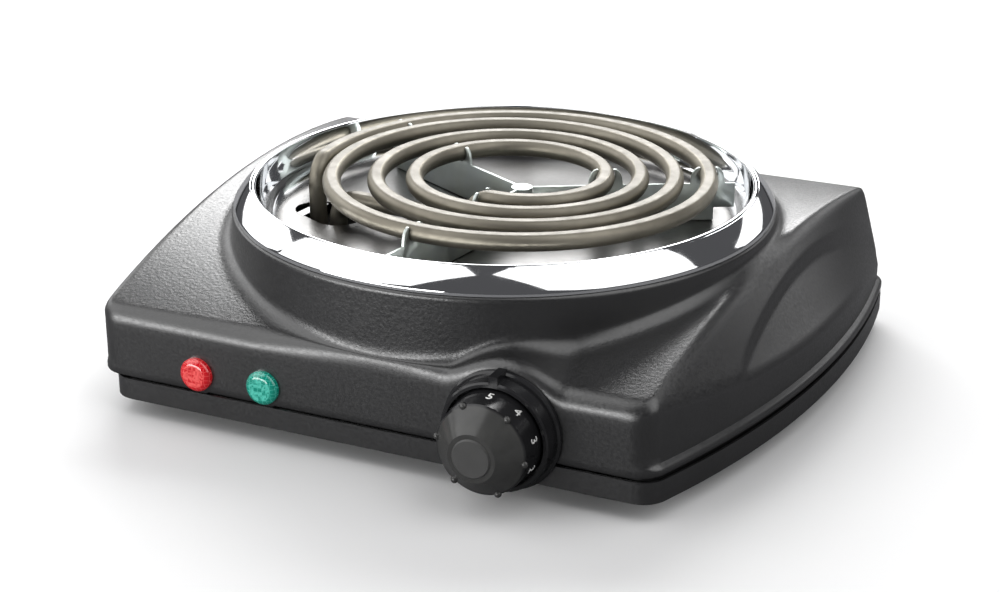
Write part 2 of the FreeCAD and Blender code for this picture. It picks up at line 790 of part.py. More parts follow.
def make_lead(points):
    """A lead on straight runs joined by arcs."""
    edges = []
    here = points[0]
    for a, b, c in zip(points, points[1:], points[2:]):
        u = (a - b).normalize()
        w = (c - b).normalize()
        half = u.getAngle(w) / 2
        cut = lead_bend / math.tan(half)
        centre = b + (u + w).normalize() * (lead_bend / math.sin(half))
        middle = centre + (b - centre).normalize() * lead_bend
        edges.append(Part.LineSegment(here, b + u * cut).toShape())
        edges.append(Part.Arc(b + u * cut, middle, b + w * cut).toShape())
        here = b + w * cut
    edges.append(Part.LineSegment(here, points[-1]).toShape())
    path = Part.Wire(edges)
    ring = Part.Wire([Part.makeCircle(lead_radius, points[0], points[1] - points[0])])
    return path.makePipeShell([ring], True, False)


def make_leads():
    case_back = front_y + sheet + regulator_depth
    level = pan_floor_z + terminal_height / 2
    x0 = terminal_x - terminal_length / 2
    row = terminal_y - 3 * lead_bend
    leads = []
    for i, x in enumerate((dial_x - regulator_width / 4, dial_x + regulator_width / 4)):
        to_x = x0 + terminal_length * (i + 1.5) / 3
        turn_y = row - 3 * lead_bend * (1 - i)
        side = shield_radius + lead_bend * (1 + i)
        leads.append(make_lead([V(x, case_back, level), V(x, case_back + 2.2 * lead_bend, level),
                                V(side, case_back + 5 * lead_bend, level), V(side, turn_y, level),
                                V(to_x, row + lead_bend, level), V(to_x, terminal_y, level)]))
    return leads


# Every piece, by the name of its file
coil = coil_tube(tube_radius)
groove = coil_tube(tube_radius + hook_clearance)
terminal_body, terminal_screws = make_terminals()
pieces = {
    "top_housing": make_housing(),
    "base_pan": make_pan(),
    "rubber_feet": Part.makeCompound(make_feet()),
    "fixing_tabs": Part.makeCompound(make_tabs()),
    "base_screws": Part.makeCompound(make_screws()),
    "drip_bowl": make_bowl(),
    "heating_coil": coil,
    "spider_hub": make_hub(),
    "coil_clamp_block": make_block(),
    "hinge_stand": make_stand(),
    "hinge_pin": make_pin(),
    "dial_bezel": make_bezel(),
    "heat_regulator": make_regulator(),
    "regulator_nut": make_nut(),
    "dial_shaft": make_shaft(),
    "dial_knob": make_knob(),
    "knob_cap": make_knob_cap(),
    "red_lens": make_lens(red_lens_x),
    "green_lens": make_lens(green_lens_x),
    "indicator_lamps": Part.makeCompound(make_lamps()),
    "lens_retainers": Part.makeCompound(make_retainers()),
    "heat_shield": make_shield(),
    "terminal_block": terminal_body,
    "terminal_screws": Part.makeCompound(terminal_screws),
    "cord_inlet_bush": make_inlet(),
}
arm_names = ("spider_arm_right", "spider_arm_left", "spider_arm_front")
for name, angle, side in zip(arm_names, arm_angles, arm_strip_sides):
    pieces[name] = make_arm(angle, side, groove)
for name, lead in zip(("lead_inner", "lead_outer"), make_leads()):
    pieces[name] = lead

os.makedirs("parts", exist_ok=True)
for name, shape in pieces.items():
    shape.exportStep("parts/" + name + ".step")
    print(name, len(shape.Solids), "solids", round(shape.Volume / 1000, 2), "cm3", shape.isValid())
print_coil_gap()
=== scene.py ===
# %% [markdown]
# A single-coil hot plate. The solids give every piece its place and size, and this script gives the
# pieces their finish. Where a press or a bend makes a softer shape than the solid has, a finer skin
# stands in for it. The frame of solids is loaded first and is never moved. Main sizes are read from it,
# so that the skins fit.

# %% load the frame
import json
import math
import bpy
import bmesh
from mathutils import Matrix, Vector


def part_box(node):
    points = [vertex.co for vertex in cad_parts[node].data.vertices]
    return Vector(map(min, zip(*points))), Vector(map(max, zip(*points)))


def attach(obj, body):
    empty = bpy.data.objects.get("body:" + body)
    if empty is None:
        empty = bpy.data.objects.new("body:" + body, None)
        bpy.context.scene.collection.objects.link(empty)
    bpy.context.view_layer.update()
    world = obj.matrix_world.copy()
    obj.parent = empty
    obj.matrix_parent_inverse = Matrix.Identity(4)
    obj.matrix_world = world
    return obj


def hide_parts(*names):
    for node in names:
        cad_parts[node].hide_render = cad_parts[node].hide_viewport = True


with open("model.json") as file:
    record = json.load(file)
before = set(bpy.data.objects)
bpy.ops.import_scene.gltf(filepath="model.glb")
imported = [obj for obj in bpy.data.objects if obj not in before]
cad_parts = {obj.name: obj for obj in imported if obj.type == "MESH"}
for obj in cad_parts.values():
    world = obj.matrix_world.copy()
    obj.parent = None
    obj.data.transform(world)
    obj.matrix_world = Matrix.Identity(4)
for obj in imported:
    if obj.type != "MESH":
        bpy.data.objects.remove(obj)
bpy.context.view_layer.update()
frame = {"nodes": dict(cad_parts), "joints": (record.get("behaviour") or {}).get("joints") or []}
MM = 0.001
scene = bpy.context.scene
scene.view_settings.view_transform = "Standard"

# %% [markdown]
# The camera stands in front of the object, to the right and above, as in the photograph. Its place was
# worked out from the round edges, which turn into ellipses whose flatness gives the height of view. A
# tracking constraint could aim it, but three square directions do it without a helper object. A long lens
# keeps the far side of the rim nearly as wide as the near side.

# %% camera
VIEW_AZIMUTH = math.radians(24.8)
VIEW_ELEVATION = math.radians(21.8)
VIEW_DISTANCE = 762 * MM
RIM_EDGE_HEIGHT = 68 * MM
VIEW_OFFSET_RIGHT = 1.7 * MM
VIEW_OFFSET_UP = 38.4 * MM
LENS = 72.0
SENSOR_WIDTH = 36.0
level_share = math.cos(VIEW_ELEVATION)
to_right = Vector((math.cos(VIEW_AZIMUTH), math.sin(VIEW_AZIMUTH), 0))
to_camera = Vector((math.sin(VIEW_AZIMUTH) * level_share, -math.cos(VIEW_AZIMUTH) * level_share,
                    math.sin(VIEW_ELEVATION)))
upward = to_camera.cross(to_right)
camera = bpy.data.objects.new("camera", bpy.data.cameras.new("camera"))
scene.collection.objects.link(camera)
camera.location = Vector((0, 0, RIM_EDGE_HEIGHT)) + to_camera * VIEW_DISTANCE
camera.location -= to_right * VIEW_OFFSET_RIGHT + upward * VIEW_OFFSET_UP
camera.rotation_euler = Matrix((to_right, upward, to_camera)).transposed().to_euler()
camera.data.sensor_width = SENSOR_WIDTH
camera.data.lens = LENS
scene.camera = camera
print("camera at", [round(v, 3) for v in camera.location])

# %% [markdown]
# The housing is one pressing, with more room on the left of the burner than on the right: a crowned top,
# two leaning side facets with a shallow scoop, a neck under the bowl, a mound behind the dial and a
# beaded lower edge. A press rounds every bend. That is hard to get by cutting and bevelling solids, so
# the whole skin is one grid: each column of it runs from the neck out to a point of the outline and down
# the wall. Its main sizes come from the box of the solid that it stands for, in millimetres.

# %% sizes of the housing
def box_of(node):
    """Lowest and highest corner of a solid, in millimetres to a tenth."""
    return [[round(v / MM, 1) for v in corner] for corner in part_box(node)]


housing_low, housing_high = box_of("top_housing")
HALF_DEPTH = -housing_low[1]
BEAD_OUT = housing_high[1] - HALF_DEPTH
SIDE_REACH = housing_high[0] - BEAD_OUT
LEFT_WING = -housing_low[0] - SIDE_REACH
print("half depth", HALF_DEPTH, "bead", BEAD_OUT, "side reach", SIDE_REACH, "left wing", LEFT_WING)

# %% [markdown]
# First comes the outline in plan: straight at the front and back, bowed at the sides, with round corners.
# It could be traced as a curve, but the formulas put the points where the skin needs them: close
# together round the corners and further apart along the sides. The left half mirrors the right one, and
# at the front and the back a short straight bridge as long as the wing joins the two.

# %% outline of the housing
SIDE_REACH_Y = 38.0
SIDE_RADIUS = 370.0
FRONT_CORNER = 10.0
BACK_CORNER = 13.0
FRONT_STEPS = 70
SIDE_STEPS = 110
BACK_STEPS = 60
CORNER_STEPS = 16
BRIDGE_STEPS = 9


def spread(start, end, count):
    """Evenly spaced values, the end left out."""
    return [start + (end - start) * i / count for i in range(count)]


def arc(centre, radius, start, end, count):
    """Points of a circle from one angle to another, the end left out."""
    angles = spread(start, end, count)
    return [(centre[0] + radius * math.cos(a), centre[1] + radius * math.sin(a)) for a in angles]


def side_x(y):
    """Half the width at one depth."""
    return SIDE_REACH - (y - SIDE_REACH_Y) ** 2 / (2 * SIDE_RADIUS)


def round_corner(y, radius):
    """Centre of the corner between a straight end and the bowed side, and how far the side leans there."""
    lean = math.atan(abs(y - SIDE_REACH_Y) / SIDE_RADIUS)
    inset = radius * math.tan((math.pi / 2 - lean) / 2)
    return (side_x(y) - inset, y - math.copysign(radius, y)), lean


def half_outline():
    """The right half, from the middle of the front to the middle of the back."""
    front, front_lean = round_corner(-HALF_DEPTH, FRONT_CORNER)
    back, back_lean = round_corner(HALF_DEPTH, BACK_CORNER)
    side_start = front[1] - FRONT_CORNER * math.sin(front_lean)
    side_end = back[1] + BACK_CORNER * math.sin(back_lean)
    points = [(x, -HALF_DEPTH) for x in spread(0, front[0], FRONT_STEPS)]
    points += arc(front, FRONT_CORNER, -math.pi / 2, -front_lean, CORNER_STEPS)
    points += [(side_x(y), y) for y in spread(side_start, side_end, SIDE_STEPS)]
    points += arc(back, BACK_CORNER, back_lean, math.pi / 2, CORNER_STEPS)
    points += [(x, HALF_DEPTH) for x in spread(back[0], 0, BACK_STEPS)]
    return points + [(0, HALF_DEPTH)]


right_half = half_outline()
left_half = [(-x - LEFT_WING, y) for x, y in reversed(right_half)]
bridge = spread(0, -LEFT_WING, BRIDGE_STEPS)[1:]
outline = right_half + [(x, HALF_DEPTH) for x in bridge]
outline += left_half + [(x, -HALF_DEPTH) for x in reversed(bridge)]
print("outline points", len(outline))

# %% [markdown]
# Pressed sheet has no sharp corners: where two faces meet, the metal bends from one to the other. A Bevel
# modifier rounds edges that are there already, but the skin is drawn with its bends from the start. A
# smooth minimum of two heights gives a rounded ridge, and a smooth maximum a filled valley.

# %% soft joins
def soft_min(a, b, bend):
    """The lower of two heights, rounded over where they meet."""
    share = min(max(0.5 + 0.5 * (b - a) / bend, 0), 1)
    return b + (a - b) * share - bend * share * (1 - share)


def soft_max(a, b, bend):
    """The higher of two heights, filled in where they meet."""
    return -soft_min(-a, -b, bend)


def ease(value):
    """From 0 to 1 with a soft start and end."""
    value = min(max(value, 0), 1)
    return value * value * (3 - 2 * value)


print("soft ridge and valley of two equal heights", soft_min(0, 0, 1), soft_max(0, 0, 1))

# %% [markdown]
# The top of the pressing is a height for each place in plan. Plate, facets, scoop and mound are simple
# formulas, joined softly. Sculpting could do this too, but a formula gives the same bend all along an
# edge and can be measured. The mound follows the dial's own axis.

# %% height of the pressing
knob_joint = next(joint for joint in frame["joints"] if joint["name"] == "knob_turn")
DIAL_X = round(knob_joint["pos_m"][0] / MM, 1)
DIAL_Z = round(knob_joint["pos_m"][2] / MM, 1)
CROWN_FRONT = 41.5
CROWN_MIDDLE = 61.0
CROWN_BACK = 55.0
FACET_TOP_FRONT = 99.0
FACET_TOP_BACK = 113.0
FACET_FOOT_FRONT = 42.0
FACET_FOOT_MIDDLE = 32.5
FACET_FOOT_BACK = 26.5
FACET_SPAN = 111.0
FACET_LEAST = 2.0
FACET_BEND = 3.5
SCOOP_MIDDLE = 24.0
SCOOP_HALF = 78.0
SCOOP_DEPTH = 2.6
# Shares of the way down a facet: where the scoop's edge is highest, and how long the edge takes to deepen.
SCOOP_TOP = 0.24
SCOOP_STEP = 0.10
MOUND_RADIUS = 24.5
MOUND_BEND = 6.0


def crown(y):
    """The plate's height, which rises from the front and falls a little to the back."""
    tilt = (CROWN_BACK - CROWN_FRONT) / 2 / HALF_DEPTH
    bow = ((CROWN_BACK + CROWN_FRONT) / 2 - CROWN_MIDDLE) / HALF_DEPTH ** 2
    return CROWN_MIDDLE + tilt * y + bow * y * y


def facet(x, y):
    """The leaning side, with its scoop."""
    share = y / FACET_SPAN
    top_x = FACET_TOP_FRONT + (FACET_TOP_BACK - FACET_TOP_FRONT) * (share + 1) / 2
    foot_x = max(side_x(y), top_x + FACET_LEAST)
    end = FACET_FOOT_FRONT if share < 0 else FACET_FOOT_BACK
    foot = FACET_FOOT_MIDDLE + (end - FACET_FOOT_MIDDLE) * share ** 2
    out = x if x > 0 else -x - LEFT_WING
    down = (out - top_x) / (foot_x - top_x)
    across = (y - SCOOP_MIDDLE) / SCOOP_HALF
    scoop = 0.0
    if abs(across) < 1:
        edge = 1 - (1 - SCOOP_TOP) * math.sqrt(1 - across ** 2)
        scoop = SCOOP_DEPTH * ease((down - edge) / SCOOP_STEP) * math.sqrt(max(1 - down, 0))
    return crown(y) + (foot - crown(y)) * down - scoop


def mound(x):
    """The round mound behind the dial."""
    across = min(abs(x - DIAL_X), MOUND_RADIUS)
    return DIAL_Z + math.sqrt(MOUND_RADIUS ** 2 - across ** 2)


def top(x, y):
    """Height of the pressing at one place in plan."""
    plate = crown(y)
    if x > 0 and y < 0:
        plate = soft_max(plate, mound(x), MOUND_BEND)
    return soft_min(plate, facet(x, y), FACET_BEND)


print("dial axis at", DIAL_X, DIAL_Z, "plate height", CROWN_FRONT, CROWN_MIDDLE, CROWN_BACK)

# %% [markdown]
# Each column of the skin starts on the flange under the bowl, drops down the neck, sweeps out through the
# hollow foot, crosses the plate, rolls over the edge, and goes down the wall to the bead and the hem. At
# the front the neck nearly meets the edge, so the foot and the edge share what room there is.

# %% one column of the skin
FLANGE = 98.0
NECK = 103.2
NECK_TOP = housing_high[2]
# How far in and how far down the points round the neck's top edge are.
NECK_EDGE = ((1.6, 0.0), (0.6, 0.2), (0.0, 1.0))
NECK_EDGE_DROP = 2.0
FOOT_WIDTH = 6.0
FOOT_RISE = 4.5
FRONT_EDGE = 5.5
SIDE_EDGE = 1.6
BACK_EDGE = 4.0
# How far the rolled edge runs out for each millimetre that it drops.
ROLL_RUN = 1.2
# The most that the foot and the rolled edge take of the room between the neck and the outline.
FOOT_SHARE = 0.45
ROLL_SHARE = 0.5
BEAD_TOP = 19.6
BEAD_BEND = 0.8
WALL_FOOT = housing_low[2]
HEM_BEND = 0.7
HEM_TUCK = 0.2
HEM_IN = 1.2
# Shares of the bead's width: at its upper bend, and at the hem.
BEAD_MIDDLE = 0.55
HEM_SHARE = 0.7
NECK_ROWS = 5
PLATE_ROWS = 30
ROLL_ROWS = 8
WALL_ROWS = 6


def steps(start, end, count):
    """Evenly spaced values, both ends among them."""
    return spread(start, end, count) + [end]


def outward(i):
    """Direction square to the outline at one of its points."""
    a = Vector(outline[i - 1])
    b = Vector(outline[(i + 1) % len(outline)])
    along = (b - a).normalized()
    return Vector((along.y, -along.x))


def skin_column(i):
    """Points of one column, from the flange to the lower edge."""
    end = Vector(outline[i])
    out = outward(i)
    ray = end.normalized()
    reach = end.length
    room = reach - NECK
    frontness = max(-out.y, 0) ** 2
    backness = max(out.y, 0) ** 2
    leftness = max(-out.x, 0) ** 2
    drop = SIDE_EDGE + (FRONT_EDGE - SIDE_EDGE) * frontness + (BACK_EDGE - SIDE_EDGE) * backness
    foot = min(FOOT_WIDTH, FOOT_SHARE * room)
    roll = min(drop * ROLL_RUN, ROLL_SHARE * room)

    def height(r):
        return top(ray.x * r, ray.y * r)

    rise = min(FOOT_RISE, NECK_TOP - NECK_EDGE_DROP - height(NECK))
    rows = [(FLANGE, NECK_TOP)]
    rows += [(NECK - inset, NECK_TOP - down) for inset, down in NECK_EDGE]
    rows += [(NECK, z) for z in spread(NECK_TOP - NECK_EDGE_DROP, height(NECK) + rise, NECK_ROWS)]
    for a in spread(0, math.pi / 2, ROLL_ROWS):
        r = NECK + foot * (1 - math.cos(a))
        rows.append((r, height(r) + rise * (1 - math.sin(a))))
    rows += [(r, height(r)) for r in spread(NECK + foot, reach - roll, PLATE_ROWS)]
    for a in steps(0, math.pi / 2, ROLL_ROWS):
        r = reach - roll + roll * math.sin(a)
        rows.append((r, height(r) - drop * (1 - math.cos(a))))
    lip = rows[-1][1]
    bead = BEAD_OUT * (1 - frontness) * (1 - leftness)
    wall = [(0, z) for z in steps(lip, BEAD_TOP + BEAD_BEND, WALL_ROWS)[1:]]
    wall += [(BEAD_MIDDLE * bead, BEAD_TOP), (bead, BEAD_TOP - BEAD_BEND), (bead, WALL_FOOT + HEM_BEND)]
    wall += [(HEM_SHARE * bead - HEM_TUCK, WALL_FOOT), (-HEM_IN, WALL_FOOT)]
    points = [(ray.x * r, ray.y * r, z) for r, z in rows]
    return points + [(end.x + out.x * step, end.y + out.y * step, z) for step, z in wall]


columns = [skin_column(i) for i in range(len(outline))]
print("skin", len(columns), "columns of", len(columns[0]), "points")

# %% [markdown]
# The columns are joined side to side into one mesh of four-sided faces, and a Solidify modifier gives it
# the thickness of the sheet. Each piece that the script adds is put on the body that carries it, so that
# it moves with the joints, and the solid that it stands for is no longer shown.

# %% the housing skin
SKIN = 1.0
HOUSING_CREASE = math.radians(50)


def grid_mesh(name, columns, closed_round=True):
    """A mesh from columns of points in millimetres, joined side to side."""
    mesh = bpy.data.meshes.new(name)
    rows = len(columns[0])
    places = [Vector(p) * MM for column in columns for p in column]
    faces = []
    count = len(columns)
    for i in range(count if closed_round else count - 1):
        j = (i + 1) % count
        for k in range(rows - 1):
            faces.append((i * rows + k, i * rows + k + 1, j * rows + k + 1, j * rows + k))
    mesh.from_pydata(places, [], faces)
    mesh.update()
    return mesh


def add_piece(name, mesh, body, slot, *nodes):
    """Places a mesh as a piece of the object, smooth, on its body, for the solids that it stands for."""
    piece = bpy.data.objects.new(name, mesh)
    scene.collection.objects.link(piece)
    mesh.polygons.foreach_set("use_smooth", [True] * len(mesh.polygons))
    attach(piece, body)
    if nodes:
        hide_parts(*nodes)
    return piece


housing_mesh = grid_mesh("housing_pressing", columns)
housing = add_piece("housing_pressing", housing_mesh, "housing", "black_paint", "top_housing")
housing_mesh.set_sharp_from_angle(angle=HOUSING_CREASE)
sheet = housing.modifiers.new("sheet", "SOLIDIFY")
sheet.thickness = SKIN * MM
sheet.offset = -1
print("housing faces", len(housing_mesh.polygons))

# %% [markdown]
# A finish is a small tree of nodes around one shader. Three things keep a surface from looking like plain
# plastic: the colour drifts a little, the gloss is uneven, and a fine relief breaks up the reflections.
# Painted textures could do this, but noise in the object's own space needs no unwrapping and stays on the
# piece as it moves.

# %% helpers for finishes
def finish(name, **constants):
    """A material with one shader, and the sockets of it that keep one value."""
    material = bpy.data.materials.new(name)
    material.use_nodes = True
    shader = material.node_tree.nodes["Principled BSDF"]
    for socket, value in constants.items():
        shader.inputs[socket.replace("_", " ")].default_value = value
    return material


def feed(material, output, socket):
    """Joins an output to a socket of the shader."""
    material.node_tree.links.new(output, material.node_tree.nodes["Principled BSDF"].inputs[socket])


def noise(material, scale, detail):
    """A noise pattern on the object's own coordinates."""
    tree = material.node_tree
    place = tree.nodes.new("ShaderNodeTexCoord")
    pattern = tree.nodes.new("ShaderNodeTexNoise")
    pattern.inputs["Scale"].default_value = scale
    pattern.inputs["Detail"].default_value = detail
    tree.links.new(place.outputs["Object"], pattern.inputs["Vector"])
    return pattern.outputs["Fac"]


def ramp(material, value, low, high, start=0.3, end=0.7):
    """Turns a pattern into a range of colours or greys."""
    node = material.node_tree.nodes.new("ShaderNodeValToRGB")
    for element, position, shade in zip(node.color_ramp.elements, (start, end), (low, high)):
        element.position = position
        element.color = (*shade, 1) if isinstance(shade, tuple) else (shade, shade, shade, 1)
    material.node_tree.links.new(value, node.inputs["Fac"])
    return node.outputs["Color"]


def mottle(material, pattern, low, high):
    """A drift between two colours or two greys, in a pattern of some scale and detail."""
    return ramp(material, noise(material, *pattern), low, high)


def relief(material, height, depth, strength=1.0):
    """A bump of the given depth in metres."""
    bump = material.node_tree.nodes.new("ShaderNodeBump")
    bump.inputs["Distance"].default_value = depth
    bump.inputs["Strength"].default_value = strength
    material.node_tree.links.new(height, bump.inputs["Height"])
    feed(material, bump.outputs["Normal"], "Normal")
    return bump


def dress(material, *nodes):
    """Gives solids of the frame their finish."""
    for node in nodes:
        slots = frame["nodes"][node].data.materials
        slots.clear()
        slots.append(material)


print("helpers for finishes ready")

# %% [markdown]
# Many finishes change over a piece: grain on top and not on the walls, a satin floor in a bright bowl. A
# second material on some of the faces would show a hard edge. Here a share from 0 to 1 is worked out for
# each point from its place, or from the way its face looks, and two values are mixed by that share.

# %% where a finish changes
def axis_value(material, source, output, axis):
    """One coordinate of what a node gives."""
    tree = material.node_tree
    split = tree.nodes.new("ShaderNodeSeparateXYZ")
    tree.links.new(tree.nodes.new(source).outputs[output], split.inputs[0])
    return split.outputs[axis]


def place_along(material, axis):
    """Where a point is along an axis, in metres."""
    return axis_value(material, "ShaderNodeTexCoord", "Object", axis)


def looking_along(material, axis):
    """How far a face looks along an axis, from -1 to 1."""
    return axis_value(material, "ShaderNodeNewGeometry", "Normal", axis)


def between(material, value, start, end):
    """0 as far as the start, 1 past the end, and even between."""
    node = material.node_tree.nodes.new("ShaderNodeMapRange")
    node.inputs["From Min"].default_value = start
    node.inputs["From Max"].default_value = end
    material.node_tree.links.new(value, node.inputs["Value"])
    return node.outputs["Result"]


def reckon(material, operation, *values):
    """One step of arithmetic on outputs."""
    node = material.node_tree.nodes.new("ShaderNodeMath")
    node.operation = operation
    for value, socket in zip(values, node.inputs):
        material.node_tree.links.new(value, socket)
    return node.outputs[0]


def blend(material, share, first, second):
    """Mixes two outputs by a share."""
    tree = material.node_tree
    node = tree.nodes.new("ShaderNodeMix")
    node.data_type = "RGBA"
    tree.links.new(share, node.inputs["Factor"])
    tree.links.new(first, node.inputs["A"])
    tree.links.new(second, node.inputs["B"])
    return node.outputs["Result"]


print("helpers for places ready")

# %% [markdown]
# The paint on the pressing is black, with a fine orange-peel grain on the plate and neck and smoother on
# the upright faces. The grain is a relief of about a tenth of a millimetre, which scatters the highlights
# into sparkle. How far a face looks up, how high it is and how far it looks sideways decide how much
# grain it gets.

# %% black paint
PAINT_DARK = (0.005, 0.005, 0.0053)
PAINT_LIGHT = (0.010, 0.010, 0.0105)
PAINT_GLOSS = (0.29, 0.42)
# Patterns: the scale and the detail of the noise.
PAINT_CLOUD = (60, 4)
PAINT_MIST = (900, 2)
ORANGE_PEEL = (850, 2)
# Changes: where the share is still 0, and where it has reached 1.
UPRIGHT_TO_LEVEL = (0.3, 0.7)
LOW_TO_HIGH = (38 * MM, 44 * MM)
SIDEWAYS_TO_NOT = (0.42, 0.22)
# Depths of the grain, in millimetres.
PLATE_GRAIN = 0.11
PAN_GRAIN = 0.03


def black_paint(name, grain):
    """Black paint with grain of some depth in millimetres."""
    paint = finish(name, IOR=1.55, Specular_IOR_Level=1.0)
    feed(paint, mottle(paint, PAINT_CLOUD, PAINT_DARK, PAINT_LIGHT), "Base Color")
    feed(paint, mottle(paint, PAINT_MIST, *PAINT_GLOSS), "Roughness")
    bump = relief(paint, noise(paint, *ORANGE_PEEL), grain * MM)
    level = between(paint, looking_along(paint, "Z"), *UPRIGHT_TO_LEVEL)
    high = between(paint, place_along(paint, "Z"), *LOW_TO_HIGH)
    sideways = reckon(paint, "ABSOLUTE", looking_along(paint, "X"))
    upper = reckon(paint, "MAXIMUM", level, high)
    share = reckon(paint, "MULTIPLY", upper, between(paint, sideways, *SIDEWAYS_TO_NOT))
    paint.node_tree.links.new(share, bump.inputs["Strength"])
    return paint


grained_paint = black_paint("grained_black_paint", PLATE_GRAIN)
smooth_paint = black_paint("smooth_black_paint", PAN_GRAIN)
housing_mesh.materials.append(grained_paint)
dress(grained_paint, "top_housing")
dress(smooth_paint, "base_pan")
print("paints", grained_paint.name, smooth_paint.name)

# %% [markdown]
# The heating coil is a tube wound from the outside in, with its inner end led back under the turns to a
# second leg. A Blender spiral has evenly growing turns, and the real one doesn't: it is wound from half
# turns whose ends step inwards. So its centre line is put together from half circles, bends and straight
# runs, as the solid's is.

# %% centre line of the coil
coil_low, coil_high = box_of("heating_coil")
TUBE = 3.4
COIL_Z = coil_high[2] - TUBE
LEG_END = coil_low[2]
COIL_LEFTS = (-73.5, -65.0, -48.0, -33.5)
COIL_RIGHTS = (77.5, 64.5, 51.5, 38.5)
LEG_BEND = 9.0
DIP_BEND = 10.0
DIP = math.radians(60)
INNER_RADIUS = 28.3
INNER_SWEEP = math.radians(100)
INNER_RUN = 42.0
TURN_STEPS = 64
BEND_STEPS = 12
DIP_STEPS = 8
RUN_STEPS = 12
LEG_STEPS = 6
UP = Vector((0, 0, 1))


def bend(start, heading, radius, sweep, count):
    """Points of a bend downwards, from level."""
    angles = steps(0, sweep, count)
    return [start + heading * radius * math.sin(a) - UP * radius * (1 - math.cos(a)) for a in angles]


def leg(start, heading):
    """The bend down from level and the upright leg under it."""
    bent = bend(start, heading, LEG_BEND, math.pi / 2, BEND_STEPS)
    foot = bent[-1]
    return bent + [Vector((foot.x, foot.y, z)) for z in steps(foot.z, LEG_END, LEG_STEPS)[1:]]


def part_turn(left, right, way, sweep):
    """Points of a turn, the first left out: way 1 goes round the back from the left, -1 returns in front."""
    middle = (left + right) / 2
    radius = (right - left) / 2
    points = []
    for a in steps(0, sweep, TURN_STEPS)[1:]:
        points.append(Vector((middle - way * radius * math.cos(a), way * radius * math.sin(a), COIL_Z)))
    return points


def coil_line():
    """The tube's centre line from the outer leg to the inner leg."""
    line = leg(Vector((COIL_LEFTS[0], 0, COIL_Z)), Vector((0, -1, 0)))[::-1]
    for left, right, next_left in zip(COIL_LEFTS, COIL_RIGHTS, COIL_LEFTS[1:]):
        line += part_turn(left, right, 1, math.pi)
        line += part_turn(next_left, right, -1, math.pi)
    line += part_turn(COIL_LEFTS[-1], COIL_RIGHTS[-1], 1, math.pi)
    line += part_turn(COIL_RIGHTS[-1] - 2 * INNER_RADIUS, COIL_RIGHTS[-1], -1, INNER_SWEEP)
    heading = Vector((-math.sin(INNER_SWEEP), -math.cos(INNER_SWEEP), 0))
    start = line[-1]
    down = bend(start, heading, DIP_BEND, DIP, DIP_STEPS)
    low = 2 * down[-1] - start
    line += down[1:] + [low + start - p for p in reversed(down[:-1])]
    line += [low + heading * run for run in spread(0, INNER_RUN, RUN_STEPS)[1:]]
    return line + leg(low + heading * INNER_RUN, heading)


COIL_ANGLE = math.radians(6)
coil_turn = Matrix.Rotation(COIL_ANGLE, 3, "Z")
tube_line = [coil_turn @ p for p in coil_line()]
print("centre line points", len(tube_line), "height", COIL_Z)

# %% [markdown]
# The tube's top is pressed flat so that a pan sits on it. A bevelled curve would give a round tube, so a
# round section with its top cut off is carried along the line instead. On the bends and legs the flat
# fades away.

# %% the coil with its flat top
FLAT = 3.05
FLAT_FADE = 4
NEARLY_UPRIGHT = 0.05
SECTION_STEPS = 48
COIL_CREASE = math.radians(24)


def sweep_section(line, section):
    """Columns of points: the section carried square to the line, kept level from side to side."""
    columns = []
    side = Vector((1, 0, 0))
    for i, place in enumerate(line):
        along = (line[min(i + 1, len(line) - 1)] - line[max(i - 1, 0)]).normalized()
        if along.xy.length > NEARLY_UPRIGHT:
            side = along.cross(UP).normalized()
        rise = side.cross(along)
        limit = FLAT + (TUBE - FLAT) * ease(FLAT_FADE * abs(along.z))
        columns.append([place + side * u + rise * min(v, limit) for u, v in section])
    return columns


section = arc((0, 0), TUBE, 0, 2 * math.pi, SECTION_STEPS)
tube_mesh = grid_mesh("flat_topped_coil", sweep_section(tube_line, section + section[:1]), False)
add_piece("flat_topped_coil", tube_mesh, "coil", "coil_sheath", "heating_coil")
tube_mesh.set_sharp_from_angle(angle=COIL_CREASE)
print("coil faces", len(tube_mesh.polygons))

# %% [markdown]
# The drip bowl is pressed from one sheet, so it is a profile turned about the burner's axis: a flat
# floor, a round corner, a leaning wall, a small rolled lip and a broad sloping rim. A Screw modifier
# could turn it, but the grid is at hand. Chrome shows every flat spot in a mesh, so the profile is turned
# in many steps. Each point is a radius and a height, and each round stretch is the circle through three
# points.

# %% the drip bowl
BOWL_STEPS = 288
BOWL_SHEET = 0.8
FLOOR_Z = 57.2
FLOOR_RINGS = (0, 20, 40, 60, 72, 78, 80.9, 81)
BOWL_CORNER = ((81, FLOOR_Z), (87.5, 59.9), (90.2, 66.4))
BOWL_WALL = ((90.3, 66.7), (92.0, 70.4), (93.9, 74.6))
BOWL_LIP = ((93.9, 74.6), (94.6, 75.8), (95.6, 75.5))
BOWL_GROOVE = ((95.9, 75.25), (96.15, 75.3))
BOWL_RIM = ((96.15, 75.3), (99.42, 72.15), (102.3, 68.6))
BOWL_EDGE = ((102.45, 68.2), (102.5, 67.8), (102.5, 67.1))
CORNER_ROWS = 14
LIP_ROWS = 8
RIM_ROWS = 16
WELD = 0.001 * MM


def through(a, b, c, count):
    """Points on the circle through three points, the first left out."""
    a, b, c = Vector(a), Vector(b), Vector(c)
    d = 2 * (a.x * (b.y - c.y) + b.x * (c.y - a.y) + c.x * (a.y - b.y))
    aa, bb, cc = a.length_squared, b.length_squared, c.length_squared
    x = (aa * (b.y - c.y) + bb * (c.y - a.y) + cc * (a.y - b.y)) / d
    y = (aa * (c.x - b.x) + bb * (a.x - c.x) + cc * (b.x - a.x)) / d
    hub = Vector((x, y))
    sweep = (a - hub).angle_signed(c - hub)
    return [tuple(hub + Matrix.Rotation(-sweep * i / count, 2) @ (a - hub)) for i in range(1, count + 1)]


